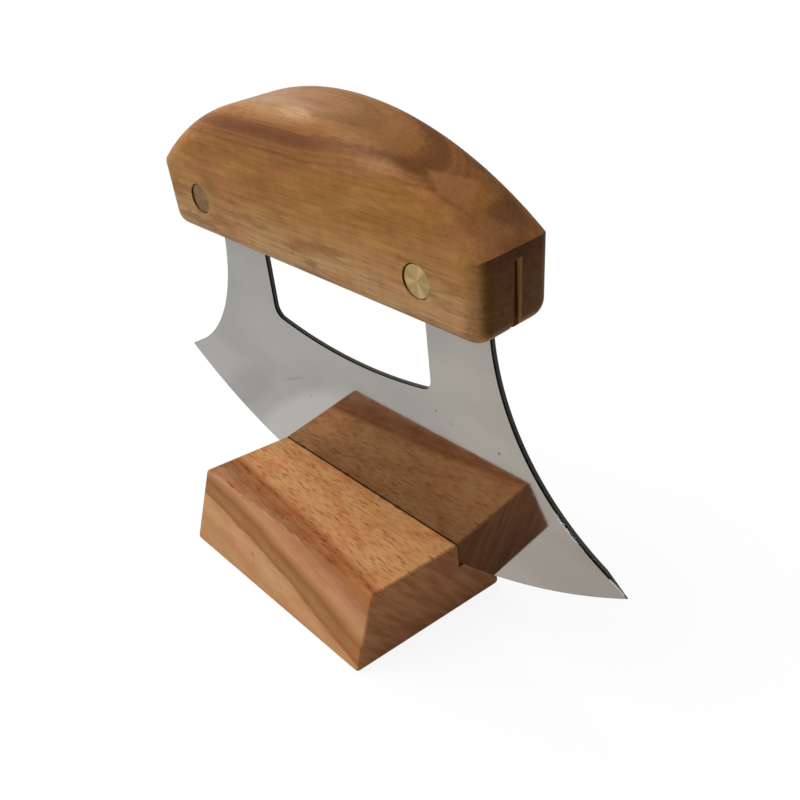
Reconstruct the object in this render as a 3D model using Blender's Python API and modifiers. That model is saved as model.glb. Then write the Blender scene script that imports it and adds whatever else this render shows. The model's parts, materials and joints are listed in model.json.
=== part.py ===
"""Ulu knife standing in its wooden display stand.

A polished blade with a round cutting edge carries two tangs. They stand in a kerf sawn along the
underside of a domed wooden handle, and a two-part brass rivet holds each. The cutting edge stands
in a leaning saw slot in a small block of wood, and the knife lifts out along that slot.

Frame: origin at the centre of the stand's underside, +X along the blade, -Y towards the front,
+Z up. The knife's own frame leans with the slot: x along the blade, z up the blade, and y = 0 on the
blade's mid-plane. Lengths are metres.
"""
import math

import bmesh
import bpy

# Blade
BLADE_SPAN = 0.1780  # tip to tip
BLADE_DROP = 0.0800  # handle's underside to the lowest point of the cutting edge
BLADE_THICKNESS = 0.0015
EDGE_RADIUS = 0.1631
EDGE_LAND = 0.00025  # thickness left at the cutting edge
GRIND_WIDTH = 0.0066  # bevel ground on the back face only
WINDOW_WIDTH = 0.0635  # finger window between the tangs
WINDOW_DROP = 0.0275  # handle's underside to the middle of the window's floor
WINDOW_FLOOR_RADIUS = 0.1495
WINDOW_CORNER_RADIUS = 0.0035
TANG_WIDTH = 0.0200
TANG_ABOVE_RIVET = 0.0055
TANG_CORNER_RADIUS = 0.0015
TIP_STRAIGHT = 0.0083  # straight stretch of the outer side at the tip
SIDE_TOP = 0.0008  # the hollow of the outer side starts this far above the handle's underside

# Handle
HANDLE_OVERHANG = 0.0072  # past the tangs at each end, along the underside
HANDLE_DEPTH = 0.0222
HANDLE_COVER = 0.0026  # wood over the kerf at the end faces
HANDLE_DOME_RISE = 0.0207  # crest above the end faces' top
HANDLE_END_FLARE = math.radians(2.3)
HANDLE_EDGE_RADIUS = 0.00476

# Rivets
RIVET_HEIGHT = 0.0112  # above the handle's underside
RIVET_HEAD_RADIUS = 0.00395
RIVET_HEAD_THICKNESS = 0.0016
RIVET_HEAD_CHAMFER = 0.0002
RIVET_RECESS = 0.0003  # heads below the handle's faces
RIVET_POST_RADIUS = 0.0015
RIVET_TUBE_WALL = 0.0007

# Stand
STAND_LENGTH = 0.0762
STAND_HEIGHT = 0.0223
STAND_BASE_DEPTH = 0.0524
STAND_SLOPE_RUN = 0.0057  # how far the front and back faces slope in
STAND_EDGE_RADIUS = 0.0010
STAND_BACK_RADIUS = 0.0020  # the lower back edge is rounder than the others
SLOT_BEHIND_CENTRE = 0.0094
SLOT_LEAN = math.radians(6.8)
SLOT_DEPTH = 0.0102  # along the slot, at mid-length
SLOT_END_RISE = 0.0024  # the slot's floor is this much higher at the stand's ends
KNIFE_SHIFT = 0.0013  # the knife stands this far to +X of the stand's centre

# Clearances
FIT_GAP = 0.0003  # between pieces that touch
SIDE_GAP = 0.00035  # each side of the blade in the kerf and in the slot
CUT_PAST = 0.004  # how far a cutter reaches past the wood
TINY = 1e-6  # points closer than this are one point

# Smoothness
EDGE_STEP = math.radians(360 / 256)  # cutting edge and grind share it
ARC_STEPS = 16
SIDE_STEPS = 24
DOME_STEPS = 48
ROUND_STEPS = 48
BEVEL_STEPS = 5

# Worked out from the sizes above
TIP_X = BLADE_SPAN / 2
EDGE_CENTRE_Z = EDGE_RADIUS - BLADE_DROP
TIP_Z = EDGE_CENTRE_Z - math.sqrt(EDGE_RADIUS**2 - TIP_X**2)
WINDOW_X = WINDOW_WIDTH / 2
FLANK_X = WINDOW_X + TANG_WIDTH
RIVET_X = WINDOW_X + TANG_WIDTH / 2
TANG_TOP = RIVET_HEIGHT + TANG_ABOVE_RIVET
KERF_TOP = TANG_TOP + FIT_GAP
END_TOP = KERF_TOP + HANDLE_COVER
HANDLE_FACE = HANDLE_DEPTH / 2
BLADE_FACE = BLADE_THICKNESS / 2
SAW_WIDTH = BLADE_THICKNESS + 2 * SIDE_GAP
RIVET_BORE = RIVET_POST_RADIUS + FIT_GAP
RIVET_TUBE = RIVET_BORE + RIVET_TUBE_WALL
RIVET_HOLE = RIVET_TUBE + FIT_GAP
RIVET_FACE = HANDLE_FACE - RIVET_RECESS
RIVET_SEAT = RIVET_FACE - RIVET_HEAD_THICKNESS
KNIFE_LIFT = BLADE_DROP - SLOT_DEPTH + FIT_GAP  # handle's underside above the slot's mouth


def clear_scene():
    for obj in list(bpy.data.objects):
        bpy.data.objects.remove(obj, do_unlink=True)


def new_collection(name):
    collection = bpy.data.collections.new(name)
    bpy.context.scene.collection.children.link(collection)
    return collection


def material(name, colour, roughness, metallic):
    made = bpy.data.materials.new(name)
    made.use_nodes = True
    shader = made.node_tree.nodes["Principled BSDF"]
    shader.inputs["Base Color"].default_value = (*colour, 1.0)
    shader.inputs["Roughness"].default_value = roughness
    shader.inputs["Metallic"].default_value = metallic
    return made


def arc(centre, radius, start, end, steps):
    """Points on a circle from angle start to angle end, both included."""
    angles = [start + (end - start) * i / steps for i in range(steps + 1)]
    return [(centre[0] + radius * math.cos(a), centre[1] + radius * math.sin(a)) for a in angles]


def mirrored(half):
    """A right half from its lower centre point to its upper one, closed by its mirror image."""
    left = [(-x, z) for x, z in reversed(half) if x > TINY]
    return half + left


def extruded(name, outline, thickness, turn, collection):
    """A flat outline as a filled 2D curve, extruded and made a closed mesh with n-sided caps."""
    curve = bpy.data.curves.new(name, "CURVE")
    curve.dimensions = "2D"
    curve.fill_mode = "BOTH"
    curve.extrude = thickness / 2
    spline = curve.splines.new("POLY")
    spline.points.add(len(outline) - 1)
    for point, (x, y) in zip(spline.points, outline):
        point.co = (x, y, 0, 1)
    spline.use_cyclic_u = True
    drawn = bpy.data.objects.new(name, curve)
    bpy.context.scene.collection.objects.link(drawn)
    drawn.rotation_euler = turn
    bpy.context.view_layer.update()
    graph = bpy.context.evaluated_depsgraph_get()
    mesh = bpy.data.meshes.new_from_object(drawn.evaluated_get(graph))
    mesh.transform(drawn.matrix_world)
    bpy.data.objects.remove(drawn, do_unlink=True)
    bm = bmesh.new()
    bm.from_mesh(mesh)
    bmesh.ops.remove_doubles(bm, verts=bm.verts, dist=TINY)
    bmesh.ops.dissolve_limit(bm, angle_limit=math.radians(0.3), verts=bm.verts, edges=bm.edges)
    bmesh.ops.recalc_face_normals(bm, faces=bm.faces)
    bm.to_mesh(mesh)
    bm.free()
    made = bpy.data.objects.new(name, mesh)
    collection.objects.link(made)
    return made


def upright(name, outline, thickness, collection):
    """An outline in x and z, extruded to both sides of y = 0."""
    return extruded(name, outline, thickness, (math.pi / 2, 0, 0), collection)


def turned(name, profile, collection):
    """A profile of (radius, y) points that runs along its outer side to +y, turned about y."""
    bm = bmesh.new()
    rim = [bm.verts.new((radius, y, 0)) for radius, y in profile]
    for first, second in zip(rim, rim[1:]):
        bm.edges.new((first, second))
    mesh = bpy.data.meshes.new(name)
    bm.to_mesh(mesh)
    bm.free()
    made = bpy.data.objects.new(name, mesh)
    collection.objects.link(made)
    screw = made.modifiers.new("turn", "SCREW")
    screw.axis = "Y"
    screw.angle = math.tau
    screw.screw_offset = 0
    screw.steps = ROUND_STEPS
    screw.render_steps = ROUND_STEPS
    screw.use_merge_vertices = True
    screw.merge_threshold = TINY
    screw.use_normal_flip = True
    screw.use_smooth_shade = True
    return made


def boolean(target, cutter, operation="DIFFERENCE"):
    step = target.modifiers.new(cutter.name, "BOOLEAN")
    step.operation = operation
    step.solver = "EXACT"
    step.object = cutter
    cutter.hide_render = True
    cutter.display_type = "WIRE"


def round_edges(obj, radius, steps, share):
    """Round each edge by share(one end, other end) of the radius."""
    bm = bmesh.new()
    bm.from_mesh(obj.data)
    weight = bm.edges.layers.float.new("bevel_weight_edge")
    for edge in bm.edges:
        edge[weight] = share(edge.verts[0].co, edge.verts[1].co)
    bm.to_mesh(obj.data)
    bm.free()
    bevel = obj.modifiers.new("rounded edges", "BEVEL")
    bevel.width = radius
    bevel.segments = steps
    bevel.limit_method = "WEIGHT"
    bevel.use_clamp_overlap = False


def smooth(obj, angle):
    obj.data.shade_smooth()
    obj.data.set_sharp_from_angle(angle=math.radians(angle))


def blade_outline():
    """Right half from the cutting edge's lowest point round to the middle of the window's floor."""
    edge_centre = (0, EDGE_CENTRE_Z)
    tip = (TIP_X, TIP_Z)
    tip_turn = math.asin(TIP_X / EDGE_RADIUS)
    whole = int(tip_turn / EDGE_STEP)
    down = -math.pi / 2
    half = arc(edge_centre, EDGE_RADIUS, down, down + whole * EDGE_STEP, whole)
    half.append(tip)

    # the outer side: straight at the tip, then hollow until it turns upright at the tang
    run = TIP_X - FLANK_X
    drop = SIDE_TOP - TIP_Z
    radius = (run**2 + drop**2 - TIP_STRAIGHT**2) / (2 * run)
    to_tip = math.atan2(-drop, run - radius) % math.tau
    touches = to_tip - math.atan(TIP_STRAIGHT / radius)
    half += arc((FLANK_X + radius, SIDE_TOP), radius, touches, math.pi, SIDE_STEPS)

    # the tang, with its two upper corners rounded
    r = TANG_CORNER_RADIUS
    half += arc((FLANK_X - r, TANG_TOP - r), r, 0, math.pi / 2, 3)
    half += arc((WINDOW_X + r, TANG_TOP - r), r, math.pi / 2, math.pi, 3)

    # the window: its side, its lower corner and its curved floor
    floor_z = WINDOW_FLOOR_RADIUS - WINDOW_DROP
    inner = WINDOW_FLOOR_RADIUS - WINDOW_CORNER_RADIUS
    corner_x = WINDOW_X - WINDOW_CORNER_RADIUS
    corner_z = floor_z - math.sqrt(inner**2 - corner_x**2)
    meets = math.atan2(corner_z - floor_z, corner_x)
    half += arc((corner_x, corner_z), WINDOW_CORNER_RADIUS, 0, meets, 5)
    half += arc((0, floor_z), WINDOW_FLOOR_RADIUS, meets, down, ARC_STEPS)[1:]
    return mirrored(half)


def make_grind(cutters):
    """The cone about the cutting edge's axis that grinds the back face.

    It has the edge's radius one land behind the front face and one grind width less at the back.
    """
    slope = GRIND_WIDTH / (BLADE_THICKNESS - EDGE_LAND)
    reach = CUT_PAST / 2
    bm = bmesh.new()
    bmesh.ops.create_cone(
        bm,
        cap_ends=True,
        segments=round(math.tau / EDGE_STEP),
        radius1=EDGE_RADIUS + slope * (EDGE_LAND + reach),
        radius2=EDGE_RADIUS - GRIND_WIDTH - slope * reach,
        depth=BLADE_THICKNESS + 2 * reach,
    )
    mesh = bpy.data.meshes.new("edge_grind")
    bm.to_mesh(mesh)
    bm.free()
    grind = bpy.data.objects.new("edge_grind", mesh)
    cutters.objects.link(grind)
    grind.location = (0, 0, EDGE_CENTRE_Z + KNIFE_LIFT)
    grind.rotation_euler = (-math.pi / 2, 0, 0)
    return grind


def make_blade(parts, cutters, finish):
    blade = upright("blade", blade_outline(), BLADE_THICKNESS, parts)
    blade.data.materials.append(finish)
    smooth(blade, 25)
    grind = make_grind(cutters)
    boolean(blade, grind, "INTERSECT")

    past = BLADE_FACE + CUT_PAST
    profile = [(0, -past), (RIVET_HOLE, -past), (RIVET_HOLE, past), (0, past)]
    holes = []
    for side, sign in (("left", -1), ("right", 1)):
        hole = turned(side + "_tang_hole", profile, cutters)
        hole.location = (sign * RIVET_X, 0, RIVET_HEIGHT + KNIFE_LIFT)
        boolean(blade, hole)
        holes.append(hole)
    return blade, [grind, *holes]


def handle_outline():
    """Right half of the side view, from the underside's middle round to the crest."""
    end_x = FLANK_X + HANDLE_OVERHANG
    top_x = end_x + END_TOP * math.tan(HANDLE_END_FLARE)
    radius = (top_x**2 + HANDLE_DOME_RISE**2) / (2 * HANDLE_DOME_RISE)
    centre = (0, END_TOP + HANDLE_DOME_RISE - radius)
    shoulder = math.acos(top_x / radius)
    half = [(0, 0), (end_x, 0)]
    half += arc(centre, radius, shoulder, math.pi / 2, DOME_STEPS // 2)
    return mirrored(half)


def make_handle(parts, cutters, finish):
    handle = upright("handle", handle_outline(), HANDLE_DEPTH, parts)
    handle.data.materials.append(finish)

    def rounded(a, b):
        """Both faces' outlines and the lower end corners, but not the ends' crisp upper edges."""
        on_a_face = abs(a.y - b.y) < TINY
        low_corner = abs(a.z) < TINY and abs(b.z) < TINY
        return 1.0 if on_a_face or low_corner else 0.0

    round_edges(handle, HANDLE_EDGE_RADIUS, BEVEL_STEPS, rounded)
    smooth(handle, 35)

    end_x = FLANK_X + HANDLE_OVERHANG + CUT_PAST
    kerf_outline = [(-end_x, -CUT_PAST), (end_x, -CUT_PAST), (end_x, KERF_TOP), (-end_x, KERF_TOP)]
    kerf = upright("kerf", kerf_outline, SAW_WIDTH, cutters)
    kerf.location = (0, 0, KNIFE_LIFT)
    boolean(handle, kerf)

    # one stepped bore for each rivet: a counterbore in each face and a hole between them
    wide = RIVET_HEAD_RADIUS + FIT_GAP
    seat = RIVET_SEAT - FIT_GAP
    past = HANDLE_FACE + CUT_PAST
    front = [(0, -past), (wide, -past), (wide, -seat), (RIVET_HOLE, -seat)]
    profile = front + [(radius, -y) for radius, y in reversed(front)]
    bores = []
    for side, sign in (("left", -1), ("right", 1)):
        bore = turned(side + "_rivet_bore", profile, cutters)
        bore.location = (sign * RIVET_X, 0, RIVET_HEIGHT + KNIFE_LIFT)
        boolean(handle, bore)
        bores.append(bore)
    return handle, [kerf, *bores]


def make_rivet(side, sign, parts, finish):
    """A cutler's rivet: a solid post from the front, driven into a tube from the back."""
    head = RIVET_HEAD_RADIUS
    rim = head - RIVET_HEAD_CHAMFER
    chamfer = RIVET_FACE - RIVET_HEAD_CHAMFER
    post_end = RIVET_SEAT - FIT_GAP
    post_profile = [
        (0, -RIVET_FACE),
        (rim, -RIVET_FACE),
        (head, -chamfer),
        (head, -RIVET_SEAT),
        (RIVET_POST_RADIUS, -RIVET_SEAT),
        (RIVET_POST_RADIUS, post_end),
        (0, post_end),
    ]
    tube_mouth = -RIVET_SEAT + FIT_GAP
    tube_profile = [
        (0, RIVET_SEAT),
        (RIVET_BORE, RIVET_SEAT),
        (RIVET_BORE, tube_mouth),
        (RIVET_TUBE, tube_mouth),
        (RIVET_TUBE, RIVET_SEAT),
        (head, RIVET_SEAT),
        (head, chamfer),
        (rim, RIVET_FACE),
        (0, RIVET_FACE),
    ]
    made = []
    for half, profile in (("post", post_profile), ("tube", tube_profile)):
        piece = turned(f"{side}_rivet_{half}", profile, parts)
        piece.data.materials.append(finish)
        piece.location = (sign * RIVET_X, 0, RIVET_HEIGHT + KNIFE_LIFT)
        made.append(piece)
    return made


def make_stand(parts, finish):
    base = STAND_BASE_DEPTH / 2
    top = base - STAND_SLOPE_RUN
    section = [(-base, 0), (base, 0), (top, STAND_HEIGHT), (-top, STAND_HEIGHT)]
    stand = extruded("stand", section, STAND_LENGTH, (math.pi / 2, 0, math.pi / 2), parts)
    stand.data.materials.append(finish)

    def rounded(a, b):
        lower_back = min(a.y, b.y) > top + TINY
        return 1.0 if lower_back and abs(a.z - b.z) < TINY else STAND_EDGE_RADIUS / STAND_BACK_RADIUS

    round_edges(stand, STAND_BACK_RADIUS, 3, rounded)
    smooth(stand, 35)
    return stand


def make_slot(stand, cutters):
    """The slot in the knife's leaning frame, with a floor that is lower at mid-length."""
    half = STAND_LENGTH / 2
    end = half + CUT_PAST
    floor = []
    for i in range(ARC_STEPS + 1):
        x = -end + 2 * end * i / ARC_STEPS
        floor.append((x, -SLOT_DEPTH + SLOT_END_RISE * (x / half) ** 2))
    slot = upright("slot", floor + [(end, CUT_PAST), (-end, CUT_PAST)], SAW_WIDTH, cutters)
    slot.location = (-KNIFE_SHIFT, 0, 0)
    boolean(stand, slot)
    return slot


def make_all():
    clear_scene()
    parts = new_collection("ulu_knife")
    cutters = new_collection("cutters")

    steel = material("polished_stainless", (0.62, 0.61, 0.59), 0.08, 1.0)
    handle_wood = material("handle_wood", (0.30, 0.15, 0.06), 0.42, 0.0)
    stand_wood = material("stand_wood", (0.42, 0.21, 0.09), 0.5, 0.0)
    brass = material("brass", (0.60, 0.46, 0.24), 0.3, 1.0)

    # the knife's frame: at the slot's mouth, leaning forward with the slot
    seat = bpy.data.objects.new("knife_seat", None)
    parts.objects.link(seat)
    seat.location = (KNIFE_SHIFT, SLOT_BEHIND_CENTRE, STAND_HEIGHT)
    seat.rotation_euler = (SLOT_LEAN, 0, 0)

    blade, blade_cutters = make_blade(parts, cutters, steel)
    handle, handle_cutters = make_handle(parts, cutters, handle_wood)
    blade.location = (0, 0, KNIFE_LIFT)
    handle.location = (0, 0, KNIFE_LIFT)
    leaning = [blade, handle, *blade_cutters, *handle_cutters]
    for side, sign in (("left", -1), ("right", 1)):
        leaning += make_rivet(side, sign, parts, brass)

    stand = make_stand(parts, stand_wood)
    leaning.append(make_slot(stand, cutters))
    for piece in leaning:
        piece.parent = seat
    bpy.context.view_layer.update()


make_all()
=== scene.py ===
import json
import math

import bmesh
import bpy
from mathutils import Matrix, Vector


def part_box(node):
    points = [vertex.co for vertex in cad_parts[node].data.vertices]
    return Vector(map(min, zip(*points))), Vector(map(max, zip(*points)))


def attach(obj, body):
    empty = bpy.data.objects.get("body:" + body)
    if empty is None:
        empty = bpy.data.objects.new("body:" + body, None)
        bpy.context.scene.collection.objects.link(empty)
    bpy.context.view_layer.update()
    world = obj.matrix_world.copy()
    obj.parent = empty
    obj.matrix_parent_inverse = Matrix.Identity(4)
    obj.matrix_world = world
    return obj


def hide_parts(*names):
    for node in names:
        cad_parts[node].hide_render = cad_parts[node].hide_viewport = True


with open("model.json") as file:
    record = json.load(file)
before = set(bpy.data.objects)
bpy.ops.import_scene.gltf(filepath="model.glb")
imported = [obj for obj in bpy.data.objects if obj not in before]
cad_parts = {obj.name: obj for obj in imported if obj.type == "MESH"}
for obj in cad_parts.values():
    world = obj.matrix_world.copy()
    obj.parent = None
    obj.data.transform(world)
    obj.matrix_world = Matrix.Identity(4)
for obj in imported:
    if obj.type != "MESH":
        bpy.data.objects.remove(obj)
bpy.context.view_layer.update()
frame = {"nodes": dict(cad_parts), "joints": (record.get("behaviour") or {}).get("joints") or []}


# Camera: it stands in front of the stand's right-hand end, at the height of a seated eye, and looks
# down on the knife, so that the polished blade mirrors the front of the stand.

CAMERA_PLACE = (0.16873, -0.12815, 0.16676)
CAMERA_HEADING = math.radians(48.175)
CAMERA_LOOKS_DOWN = math.radians(28.235)
CAMERA_ROLL = math.radians(-0.338)
LENS_MM = 40.43
SENSOR_MM = 36

lens = bpy.data.cameras.new("camera")
lens.sensor_width = SENSOR_MM
lens.lens = LENS_MM
lens.clip_start = 0.01
camera = bpy.data.objects.new("camera", lens)
bpy.context.scene.collection.objects.link(camera)
camera.matrix_world = (
    Matrix.Translation(CAMERA_PLACE)
    @ Matrix.Rotation(CAMERA_HEADING, 4, "Z")
    @ Matrix.Rotation(math.pi / 2 - CAMERA_LOOKS_DOWN, 4, "X")
    @ Matrix.Rotation(CAMERA_ROLL, 4, "Z")
)
bpy.context.scene.camera = camera


# Blade: one piece of stainless sheet, cut to its outline with a D-shaped finger window between two
# tangs. Both faces are buffed to a mirror, with painted reflection in their colour. The cut sides are
# left dull and painted dark, for the shade and the dark room they show, and the round cutting edge is
# ground from the back face only.

SPAN = 0.1780
DROP = 0.0800
SHEET = 0.0015
EDGE_RADIUS = 0.1631
EDGE_LAND = 0.00025
GRIND_WIDTH = 0.0066
TIP_STRAIGHT = 0.0083
SIDE_TOP = 0.0008
TANG_WIDTH = 0.0200
TANG_TOP = 0.0167
TANG_CORNER = 0.0015
WINDOW_HALF = 0.03175
WINDOW_DROP = 0.0275
WINDOW_FLOOR_RADIUS = 0.1495
WINDOW_CORNER = 0.0035
TANG_OUTSIDE = WINDOW_HALF + TANG_WIDTH
BURR = 0.00012  # width of the broken edge round both faces
SLOT_BEHIND_CENTRE = 0.0094
KNIFE_LIFT = 0.0701  # handle's underside above the slot's mouth
RIVET_X = WINDOW_HALF + TANG_WIDTH / 2
RIVET_HEIGHT = 0.0112
RIVET_HOLE = 0.0028
STEEL = (0.400, 0.389, 0.366)
SAME_POINT = 1e-6
ON_THE_ROUND = 2e-5  # how far off the cutting edge's round a point of it may be
CUTTER_PAST = 0.002  # how far a cutter reaches beyond the sheet
FACE_FLAT = 0.9999  # a flat face looks at least this squarely to the front or back
BEVEL_FLAT = 0.95  # and the ground bevel this squarely

# the knife's own frame: x along the blade, z up the blade, nought at the handle's underside
lift = Vector(frame["joints"][0]["axis"])
lean = math.atan2(-lift.y, lift.z)
blade_low, blade_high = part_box("blade")
stand_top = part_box("stand")[1].z
slot_mouth = Vector(((blade_low.x + blade_high.x) / 2, SLOT_BEHIND_CENTRE, stand_top))
underside = slot_mouth + lift.normalized() * KNIFE_LIFT
knife_place = Matrix.Translation(underside) @ Matrix.Rotation(lean, 4, "X")


def arc(centre, radius, start, end, steps):
    """Points on a circle from angle start to angle end, both included."""
    turns = [start + (end - start) * i / steps for i in range(steps + 1)]
    return [(centre[0] + radius * math.cos(a), centre[1] + radius * math.sin(a)) for a in turns]


def both_halves(right):
    """A right half from its lower middle point to its upper one, closed by its mirror image."""
    return right + [(-x, z) for x, z in reversed(right) if x > SAME_POINT]


def piece_from(name, shape):
    mesh = bpy.data.meshes.new(name)
    shape.to_mesh(mesh)
    shape.free()
    made = bpy.data.objects.new(name, mesh)
    bpy.context.scene.collection.objects.link(made)
    return made


def slab(name, outline, thickness):
    """A closed slab from an outline in x and z, half its thickness to each side of y = 0."""
    shape = bmesh.new()
    rim = [shape.verts.new((x, -thickness / 2, z)) for x, z in outline]
    front = shape.faces.new(rim)
    grown = bmesh.ops.extrude_face_region(shape, geom=[front])
    back = [item for item in grown["geom"] if isinstance(item, bmesh.types.BMVert)]
    bmesh.ops.translate(shape, verts=back, vec=(0, thickness, 0))
    bmesh.ops.recalc_face_normals(shape, faces=shape.faces)
    return piece_from(name, shape)


def drum(name, profile, sides):
    """A profile of (radius, y) points, from one end of the y axis to the other, turned about it."""
    shape = bmesh.new()
    rings = []
    for radius, y in profile:
        if radius < SAME_POINT:
            rings.append([shape.verts.new((0, y, 0))])
            continue
        turns = [math.tau * i / sides for i in range(sides)]
        rings.append([shape.verts.new((radius * math.cos(a), y, radius * math.sin(a))) for a in turns])
    for lower, upper in zip(rings, rings[1:]):
        for i in range(sides):
            j = (i + 1) % sides
            corners = [lower[i % len(lower)], lower[j % len(lower)]]
            corners += [upper[j % len(upper)], upper[i % len(upper)]]
            shape.faces.new(list(dict.fromkeys(corners)))
    bmesh.ops.recalc_face_normals(shape, faces=shape.faces)
    return piece_from(name, shape)


def cut(target, cutter, operation="DIFFERENCE"):
    step = target.modifiers.new(cutter.name, "BOOLEAN")
    step.operation = operation
    step.solver = "EXACT"
    step.object = cutter


def settle(made, cutters=(), place=Matrix.Identity(4), sharp=30):
    """The piece with its modifiers worked into its mesh and its place in the mesh too."""
    bpy.context.view_layer.update()
    graph = bpy.context.evaluated_depsgraph_get()
    mesh = bpy.data.meshes.new_from_object(made.evaluated_get(graph))
    made.modifiers.clear()
    made.data = mesh
    made.matrix_world = Matrix.Identity(4)
    mesh.transform(place)
    mesh.shade_smooth()
    mesh.set_sharp_from_angle(angle=math.radians(sharp))
    for cutter in cutters:
        bpy.data.objects.remove(cutter, do_unlink=True)


def soften(made, width, steps, share):
    """Round each edge by share(one end, other end) of the width."""
    shape = bmesh.new()
    shape.from_mesh(made.data)
    weight = shape.edges.layers.float.new("bevel_weight_edge")
    for edge in shape.edges:
        edge[weight] = share(edge.verts[0].co, edge.verts[1].co)
    shape.to_mesh(made.data)
    shape.free()
    bevel = made.modifiers.new("softened edges", "BEVEL")
    bevel.width = width
    bevel.segments = steps
    bevel.limit_method = "WEIGHT"
    bevel.use_clamp_overlap = False


def blade_outline():
    edge_middle = (0, EDGE_RADIUS - DROP)
    tip_x = SPAN / 2
    tip_z = edge_middle[1] - math.sqrt(EDGE_RADIUS**2 - tip_x**2)
    down = -math.pi / 2
    right = arc(edge_middle, EDGE_RADIUS, down, down + math.asin(tip_x / EDGE_RADIUS), steps=96)
    run = tip_x - TANG_OUTSIDE
    fall = SIDE_TOP - tip_z
    radius = (run**2 + fall**2 - TIP_STRAIGHT**2) / (2 * run)
    leaves = math.atan2(-fall, run - radius) % math.tau - math.atan(TIP_STRAIGHT / radius)
    right += arc((TANG_OUTSIDE + radius, SIDE_TOP), radius, leaves, math.pi, steps=72)
    r = TANG_CORNER
    right += arc((TANG_OUTSIDE - r, TANG_TOP - r), r, 0, math.pi / 2, steps=6)
    right += arc((WINDOW_HALF + r, TANG_TOP - r), r, math.pi / 2, math.pi, steps=6)
    floor_middle = (0, WINDOW_FLOOR_RADIUS - WINDOW_DROP)
    inner = WINDOW_FLOOR_RADIUS - WINDOW_CORNER
    corner_x = WINDOW_HALF - WINDOW_CORNER
    corner_z = floor_middle[1] - math.sqrt(inner**2 - corner_x**2)
    meets = math.atan2(corner_z - floor_middle[1], corner_x)
    right += arc((corner_x, corner_z), WINDOW_CORNER, 0, meets, steps=10)
    right += arc(floor_middle, WINDOW_FLOOR_RADIUS, meets, down, steps=48)[1:]
    return both_halves(right)


def on_cutting_edge(point):
    return abs(math.hypot(point.x, point.z - EDGE_RADIUS + DROP) - EDGE_RADIUS) < ON_THE_ROUND


def blade_burr(a, b):
    """The cut sides have a broken edge all round; the cutting edge has none."""
    along_a_face = abs(a.y - b.y) < SAME_POINT
    return 1.0 if along_a_face and not (on_cutting_edge(a) and on_cutting_edge(b)) else 0.0


blade = slab("blade_steel_sheet", blade_outline(), SHEET)
soften(blade, BURR, steps=2, share=blade_burr)
steepness = GRIND_WIDTH / (SHEET - EDGE_LAND)
wide = EDGE_RADIUS + steepness * (EDGE_LAND + CUTTER_PAST)
narrow = EDGE_RADIUS - GRIND_WIDTH - steepness * CUTTER_PAST
past = SHEET / 2 + CUTTER_PAST
cone = [(0, -past), (wide, -past), (narrow, past), (0, past)]
grindstone = drum("grindstone", cone, sides=1024)
grindstone.location = (0, 0, EDGE_RADIUS - DROP)
cut(blade, grindstone, "INTERSECT")
drills = []
for side in (-1, 1):
    rod = [(0, -past), (RIVET_HOLE, -past), (RIVET_HOLE, past), (0, past)]
    drill = drum("drill", rod, sides=48)
    drill.location = (side * RIVET_X, 0, RIVET_HEIGHT)
    cut(blade, drill)
    drills.append(drill)
settle(blade, [grindstone, *drills], knife_place, sharp=20)


def new_material(name):
    made = bpy.data.materials.new(name)
    made.use_nodes = True
    return made, made.node_tree, made.node_tree.nodes["Principled BSDF"]


def add_node(tree, kind, inputs=None, **settings):
    """A node with its settings, and each input given a value or joined to another node's output."""
    made = tree.nodes.new(kind)
    for name, value in settings.items():
        setattr(made, name, value)
    for name, value in (inputs or {}).items():
        if isinstance(value, bpy.types.NodeSocket):
            tree.links.new(value, made.inputs[name])
        else:
            made.inputs[name].default_value = value
    return made


def reckon(tree, operation, first, second=0.0):
    return add_node(tree, "ShaderNodeMath", {0: first, 1: second}, operation=operation).outputs[0]


def noise(tree, where, scale, detail, roughness=0.5):
    inputs = {"Vector": where, "Scale": scale, "Detail": detail, "Roughness": roughness}
    return add_node(tree, "ShaderNodeTexNoise", inputs).outputs[0]


def fitted(tree, value, low, high, to_low=0.0, to_high=1.0):
    inputs = {"Value": value, "From Min": low, "From Max": high, "To Min": to_low, "To Max": to_high}
    return add_node(tree, "ShaderNodeMapRange", inputs, interpolation_type="SMOOTHSTEP").outputs[0]


def stretched(tree, where, along, across, through):
    inputs = {"Vector": where, "Scale": (along, across, through)}
    return add_node(tree, "ShaderNodeMapping", inputs, vector_type="POINT").outputs[0]


def blended(tree, share, first, second, blend_type="MIX"):
    inputs = {0: share, 6: first, 7: second}
    made = add_node(tree, "ShaderNodeMix", inputs, data_type="RGBA", blend_type=blend_type)
    return made.outputs[2]


def tinted(tree, share, colour, factors):
    """A colour with its red, green and blue multiplied by these factors, where the share is one."""
    return blended(tree, share, colour, (*factors, 1), "MULTIPLY")


def place_in_mm(tree, origin, turn):
    """Object coordinates in millimetres from a piece's own corner, turned to lie along it."""
    where = add_node(tree, "ShaderNodeTexCoord").outputs["Object"]
    inputs = {"Vector": where, "Location": origin, "Rotation": turn, "Scale": (0.001, 0.001, 0.001)}
    return add_node(tree, "ShaderNodeMapping", inputs, vector_type="TEXTURE").outputs[0]


def on_knife(tree):
    """Millimetres along the knife, back through it and up it, from the handle's underside."""
    return place_in_mm(tree, underside, (lean, 0, 0))


def each_way(tree, where):
    """The three parts of a place or a direction."""
    return add_node(tree, "ShaderNodeSeparateXYZ", {0: where}).outputs


def shade_of(colour, factor):
    """A colour made lighter or darker throughout."""
    return (*[part * factor for part in colour[:3]], 1)


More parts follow.
